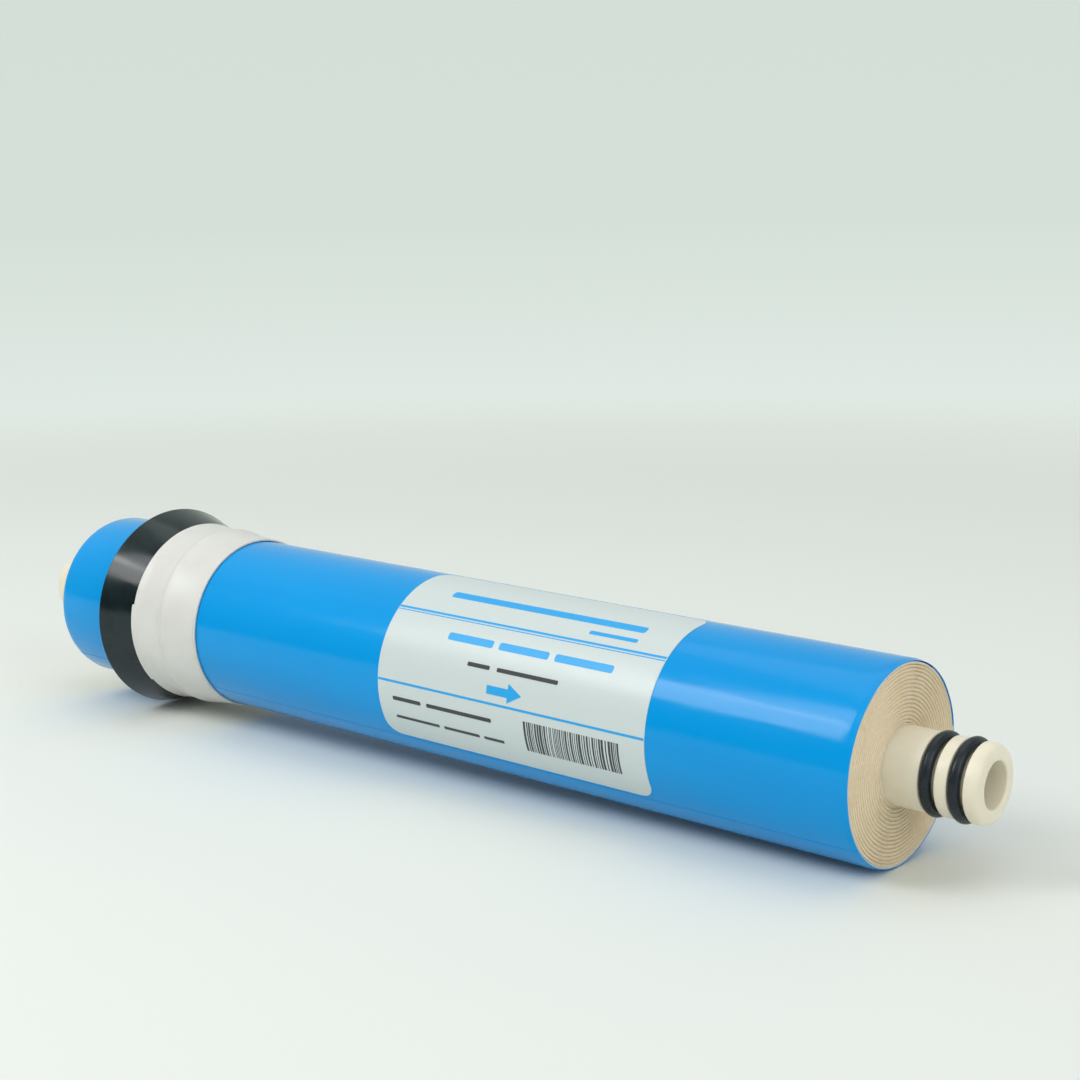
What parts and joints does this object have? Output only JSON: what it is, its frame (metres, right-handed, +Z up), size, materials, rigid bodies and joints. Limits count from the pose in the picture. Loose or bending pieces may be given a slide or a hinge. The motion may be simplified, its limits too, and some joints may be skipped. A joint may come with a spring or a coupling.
{
  "type": "ro membrane element",
  "caption": "Spiral-wound reverse osmosis element: wound sheets in blue film on a perforated tube, with a double O-ring nose and a flared brine seal.",
  "frame": {"origin": "on the axis, at the wound roll's end face on the O-ring side", "axes": "+X along the axis towards the O-ring nose, +Z up as the element lies on its side"},
  "size_m": [0.298, 0.0548, 0.0548],
  "materials": {
    "tube_plastic": "semi-matte cream moulding",
    "o_ring_rubber": "glossy black rubber",
    "carrier_fabric": "fine knitted polyester",
    "membrane_film": "beige coated sheet",
    "spacer_net": "translucent net",
    "blue_film": "glossy cyan-blue film",
    "seal_rubber": "glossy black rubber",
    "white_tape": "satin white tape",
    "label_film": "satin silver-white sticker"
  },
  "bodies": {
    "root": {"core_tube": "tube_plastic", "inner_o_ring": "o_ring_rubber", "outer_o_ring": "o_ring_rubber", "permeate_carrier": "carrier_fabric", "membrane_leaf": "membrane_film", "feed_spacer": "spacer_net", "film_wrap": "blue_film", "brine_seal": "seal_rubber", "seal_tape": "white_tape", "label": "label_film"}
  },
  "joints": []
}
